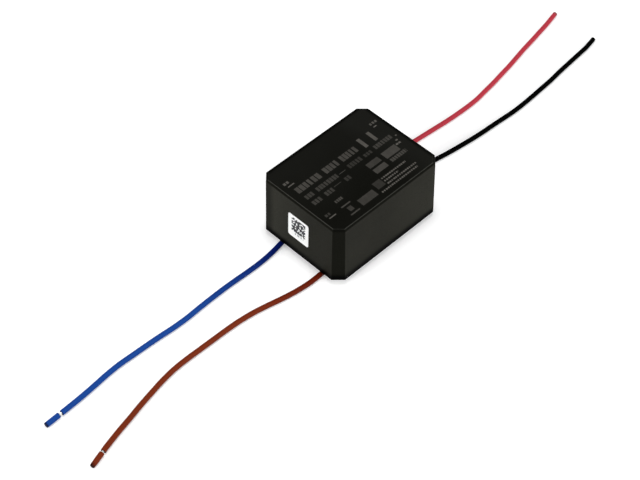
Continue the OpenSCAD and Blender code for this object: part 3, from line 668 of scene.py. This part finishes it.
def with_edges(t, tone, nx, ny, nz):
    """The tone with painted shade on the rounded edges, and a painted highlight, a thin pale line, on those
    of the mains end and near side.
    """
    straight = t.math("LESS_THAN", t.math("ABSOLUTE", t.math("MULTIPLY", nx, ny)), STRAIGHT)
    lit = t.math("MULTIPLY", straight, t.math("LESS_THAN", t.math("ADD", nx, ny), 0.0))
    unlit = t.math("SUBTRACT", 1.0, lit)
    tone = t.mix(t.math("MULTIPLY", t.math("COMPARE", nz, *ROUNDING), unlit), tone, ROUNDING_TONE)
    return t.mix(t.math("MULTIPLY", lit, t.math("COMPARE", nz, *GLINT)), tone, GLINT_TONE)


def case_material():
    """The case's plastic with its print: tones by place and normal, with painted reflection, sheen and
    shade, over a relief of sparks and pits.
    """
    t = Tree("case_plastic")
    x, y, z = t.split(t.point)
    nx, ny, nz = t.split(t.normal)
    slow = t.noise(CASE_CLOUDS, detail=3)
    spark = t.noise(SPARKS, detail=3)
    grain = plastic_grain(t, slow, spark)
    wall = t.ramp(t.math("MAXIMUM", t.math("ABSOLUTE", nx), t.math("ABSOLUTE", ny)), *WALL_FROM)
    tone = t.mix(t.ramp(nz, *LEVEL_FROM), t.mix(grain, *CORNER_TONES), top_tone(t, grain, x, y))
    # Walls lighter than the top and corner cuts: painted reflection
    tone = t.mix(wall, tone, wall_tone(t, grain, x, y, nx))
    tone = with_rim_shade(t, tone, z)
    tone = with_margins(t, tone, x, y, wall)
    printed = t.math("MULTIPLY", print_mask(t, x, y), t.math("GREATER_THAN", nz, FLAT_TOP))
    tone = with_edges(t, t.mix(printed, tone, INK), nx, ny, nz)
    pits = t.math("MULTIPLY", t.cells(PITS), 1 - SPARK_SHARE)
    t.bump(t.math("ADD", t.math("MULTIPLY", spark, SPARK_SHARE), pits), CASE_BUMP, CASE_RELIEF)
    return t.finish(tone, t.ramp(slow, *NOISE_RANGE, *CASE_GLOSS), specular=0.01)


paint(case_material(), "case")


# Label: white stock with a patch of squares and some dashes, which a formula makes and which say nothing
PATCH_Y, PATCH_Z = LABEL_HIGH.y - 0.0017, CASE_HIGH.z - 0.0083
CELL = 0.00058
CELLS = 12
PATCH_SEED, DASH_SEED = 150.0, 4.0
LIGHT_CELLS, LIGHT_DASHES = 0.26, 0.45
DASH_INK = 0.6

# The middle and half width, in cells, of the strip that the dashes lie in
DASH_COLUMNS = (6.5, 4.0)
DASH_ROWS = (13.4, 0.9)

# Scales of the stock's clouds and of its fibres, and how deep they are
STOCK_CLOUDS, FIBRES = 700, 1800
FIBRE_BUMP = 0.15
FIBRE_DEPTH = 0.00002
STOCK_TONES = (0.85, 0.86, 0.85), (0.94, 0.95, 0.93)
LABEL_INK = (0.022, 0.022, 0.026)


def label_material():
    t = Tree("label")
    x, y, z = t.split(t.point)
    column = t.math("DIVIDE", t.math("SUBTRACT", PATCH_Y, y), CELL)
    row = t.math("DIVIDE", t.math("SUBTRACT", PATCH_Z, z), CELL)
    inside = t.math("MULTIPLY", t.math("COMPARE", column, CELLS / 2, CELLS / 2),
                    t.math("COMPARE", row, CELLS / 2, CELLS / 2))
    dice = t.random(t.join(t.math("FLOOR", column), t.math("FLOOR", row), PATCH_SEED))
    square = t.math("MULTIPLY", inside, t.math("GREATER_THAN", dice, LIGHT_CELLS))
    below = t.math("MULTIPLY", t.math("COMPARE", column, *DASH_COLUMNS),
                   t.math("COMPARE", row, *DASH_ROWS))
    dice = t.random(t.join(t.math("FLOOR", column), 0.0, DASH_SEED))
    dash = t.math("MULTIPLY", below, t.math("GREATER_THAN", dice, LIGHT_DASHES))
    ink = t.math("MAXIMUM", square, t.math("MULTIPLY", dash, DASH_INK))
    t.bump(t.noise(FIBRES, detail=2), FIBRE_BUMP, FIBRE_DEPTH)
    stock = t.mix(t.noise(STOCK_CLOUDS, detail=3), *STOCK_TONES)
    return t.finish(t.mix(ink, stock, LABEL_INK), roughness=0.55, specular=0.3)


paint(label_material(), "end_label")


# Resin and everything inside it
TIN = surface("solder", (0.62, 0.62, 0.60), roughness=0.30, metallic=1.0, grain=1500, spread=0.10)
CHIP = surface("chip_body", (0.020, 0.020, 0.021), roughness=0.55)
FERRITE = surface("ferrite", (0.055, 0.055, 0.058), roughness=0.45, metallic=0.3)
SLEEVE = surface("can_sleeve", (0.030, 0.034, 0.040), roughness=0.25, specular=0.6, grain=900)
BOBBIN = surface("bobbin_plastic", (0.300, 0.290, 0.260), roughness=0.50)
BOARD = surface("board", (0.020, 0.110, 0.035), roughness=0.35, specular=0.6, grain=1400, spread=0.10)
RESIN = surface("resin", (0.012, 0.012, 0.013), roughness=0.30, grain=400, spread=0.25, depth=0.00010)
paint(RESIN, "resin")
paint(BOARD, "circuit_board")
paint(TINNED, "lead_conductors")
paint(TIN, "solder_joints", "transformer_pins")
paint(CHIP, "bridge_rectifier", "output_rectifier", "power_transistor")
paint(CHIP, "controller_chip", "chip_resistors")
paint(FERRITE, "choke_core", "transformer_core_lower", "transformer_core_upper", "output_inductor")
paint(SLEEVE, "bulk_capacitor", "output_capacitor")
paint(BOBBIN, "choke_base", "transformer_bobbin")
paint(surface("fuse_body", (0.045, 0.045, 0.050), roughness=0.45), "fuse")
paint(surface("varistor_coat", (0.020, 0.080, 0.330), roughness=0.30), "varistor")
paint(surface("film_box", (0.620, 0.400, 0.045), roughness=0.35), "film_capacitor")
paint(surface("thermistor_coat", (0.022, 0.022, 0.026), roughness=0.50), "inrush_thermistor")
paint(surface("winding_tape", (0.700, 0.520, 0.080), roughness=0.30), "transformer_winding")
paint(surface("disc_coat", (0.045, 0.190, 0.480), roughness=0.30), "bridging_capacitor")
paint(surface("opto_body", (0.720, 0.710, 0.670), roughness=0.50), "optocoupler")
paint(surface("ceramic", (0.380, 0.260, 0.140), roughness=0.45), "chip_capacitors")
for slot, node, color in (("copper", "choke_winding_a", (0.620, 0.250, 0.090)),
                          ("copper_b", "choke_winding_b", (0.600, 0.235, 0.085))):
    paint(surface(slot, color, roughness=0.28, metallic=1.0, grain=2600, spread=0.15), node)


# Floor, lights and world: the floor glows a little, and fully at the end of its reach
FLOOR_HALF = 4.0
FLOOR_GLOW = 0.38
GLOW_REACH = (0.25, 0.90)
FLOOR_TONES = (0.80, 0.80, 0.80), (0.84, 0.84, 0.84)
FLOOR_CLOUDS = 3

# The surround is white up to the first height and as dim as the ceiling from the second one
CEILING = 0.18
CEILING_REACH = (0.15, 0.45)

# Lamps: name, place, what they point at, width and power
LAMPS = (
    ("overhead", (0.03, 0.03, 1.1), (0, 0, 0), 0.3, 5.4),
    ("mains_side", (-1.0, 0.25, 0.40), (0, 0, 0.01), 0.6, 8),
    ("long_side", (0.25, -1.0, 0.40), (0, 0, 0.01), 0.6, 7),
)


def make_floor():
    """A pale floor that glows a little, and more where the lamps don't reach, so that it stays white."""
    t = Tree("floor")
    x, y, _ = t.split(t.point)
    away = t.math("SQRT", t.math("ADD", t.math("MULTIPLY", x, x), t.math("MULTIPLY", y, y)))
    glow = t.math("MULTIPLY", t.seen(), t.ramp(away, *GLOW_REACH, FLOOR_GLOW, 1.0))
    t.put(t.shader.inputs["Emission Strength"], glow)
    t.put(t.shader.inputs["Emission Color"], (1, 1, 1))
    material = t.finish(t.mix(t.noise(FLOOR_CLOUDS, detail=2), *FLOOR_TONES), roughness=0.9, specular=0.0)
    bm = bmesh.new()
    corners = ((-1, -1), (1, -1), (1, 1), (-1, 1))
    bm.faces.new([bm.verts.new((x * FLOOR_HALF, y * FLOOR_HALF, 0)) for x, y in corners])
    object_from(bm, "floor", material)


def make_world():
    """A white surround up to some way above the horizon and a dim ceiling, which give little light."""
    world = bpy.data.worlds.new("studio")
    scene.world = world
    world.use_nodes = True
    g = Graph(world.node_tree)
    back = g.tree.nodes["Background"]
    g.put(back.inputs["Color"], (1, 1, 1))
    height = g.split(g.node("TexCoord").outputs["Generated"])["Z"]
    shown = g.ramp(height, *CEILING_REACH, 1.0, CEILING)
    g.put(back.inputs["Strength"], g.ramp(g.seen(), 0.0, 1.0, CEILING, shown))


def area_light(name, place, target, width, power):
    data = bpy.data.lights.new(name, "AREA")
    data.shape = "SQUARE"
    data.size = width
    data.energy = power
    lamp = bpy.data.objects.new(name, data)
    turn = (Vector(target) - Vector(place)).to_track_quat("-Z", "Y")
    lamp.matrix_world = Matrix.Translation(Vector(place)) @ turn.to_matrix().to_4x4()
    scene.collection.objects.link(lamp)


make_floor()
make_world()
for lamp in LAMPS:
    area_light(*lamp)
scene.view_settings.view_transform = "Standard"
